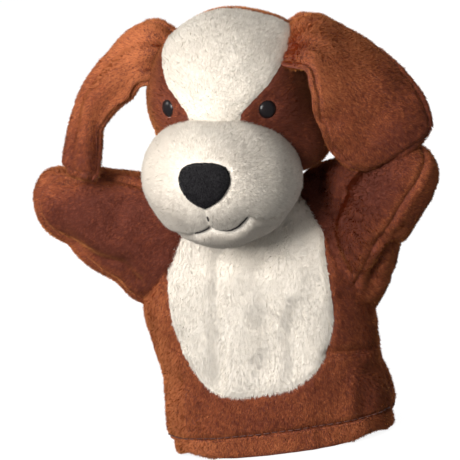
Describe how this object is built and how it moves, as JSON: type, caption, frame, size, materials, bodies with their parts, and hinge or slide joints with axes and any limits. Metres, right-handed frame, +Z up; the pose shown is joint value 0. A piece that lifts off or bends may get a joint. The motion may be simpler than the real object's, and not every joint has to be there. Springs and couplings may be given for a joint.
{
  "type": "glove puppet",
  "caption": "Plush dog glove puppet standing on its hem, with a stuffed head, floppy ears held up by the paws, and a white tummy patch.",
  "frame": {"origin": "centre of the hand opening, on the surface that the hem rests on", "axes": "+Z up through the head, -Y the way the face looks, +X the puppet's own left"},
  "size_m": [0.2402, 0.1359, 0.2563],
  "materials": {
    "brown_plush": "short-pile plush, russet brown",
    "white_plush": "short-pile plush, warm white",
    "black_felt": "brushed black cloth",
    "black_thread": "embroidery thread, black",
    "brown_thread": "sewing thread, dark brown",
    "eye_plastic": "polished black dome with a dark amber rim",
    "washer_plastic": "plain moulded",
    "stuffing": "polyester fibre fill",
    "lining": "plain woven lining"
  },
  "bodies": {
    "torso": {"torso_front": "brown_plush", "torso_back": "brown_plush", "tummy_patch": "white_plush", "hem_band": "brown_plush", "hem_thread": "brown_thread"},
    "neck": {"neck_sleeve": "brown_plush"},
    "head": {"forehead_blaze": "white_plush", "head_side_left": "brown_plush", "head_side_right": "brown_plush", "head_back": "brown_plush", "muzzle_left": "white_plush", "muzzle_right": "white_plush", "chin": "white_plush", "nose": "black_felt", "mouth_thread": "black_thread", "eye_left": "eye_plastic", "eye_right": "eye_plastic", "eye_washer_left": "washer_plastic", "eye_washer_right": "washer_plastic", "head_stuffing": "stuffing", "finger_pocket": "lining"},
    "arm_left": {"arm_left_front": "brown_plush", "arm_left_back": "brown_plush"},
    "arm_right": {"arm_right_front": "brown_plush", "arm_right_back": "brown_plush"},
    "ear_left": {"ear_left_outer": "brown_plush", "ear_left_inner": "brown_plush"},
    "ear_right": {"ear_right_outer": "brown_plush", "ear_right_inner": "brown_plush"}
  },
  "joints": [
    {"name": "head_turn", "type": "hinge", "parent": "torso", "child": "neck", "pos_m": [0, -0.004, 0.157], "axis": [0, 0, 1], "range_deg": [-12, 12]},
    {"name": "head_nod", "type": "hinge", "parent": "neck", "child": "head", "pos_m": [0, -0.004, 0.157], "axis": [1, 0, 0], "range_deg": [-12, 5]},
    {"name": "arm_left_swing", "type": "hinge", "parent": "torso", "child": "arm_left", "pos_m": [0.064, 0, 0.116], "axis": [0, 0, -1], "range_deg": [-15, 35]},
    {"name": "arm_right_swing", "type": "hinge", "parent": "torso", "child": "arm_right", "pos_m": [-0.064, 0, 0.127], "axis": [0, 0, 1], "range_deg": [-15, 35]},
    {"name": "ear_left_swing", "type": "hinge", "parent": "head", "child": "ear_left", "pos_m": [0.04, -0.036, 0.24], "axis": [-0.78, 0, -0.6258], "range_deg": [-8, 16]},
    {"name": "ear_right_swing", "type": "hinge", "parent": "head", "child": "ear_right", "pos_m": [-0.031, -0.023, 0.242], "axis": [-0.76, 0, 0.6499], "range_deg": [-8, 16]}
  ],
  "couplings": [
    {"joint": "ear_left_swing", "follows": "arm_left_swing", "ratio": 0.45},
    {"joint": "ear_right_swing", "follows": "arm_right_swing", "ratio": 0.45}
  ]
}
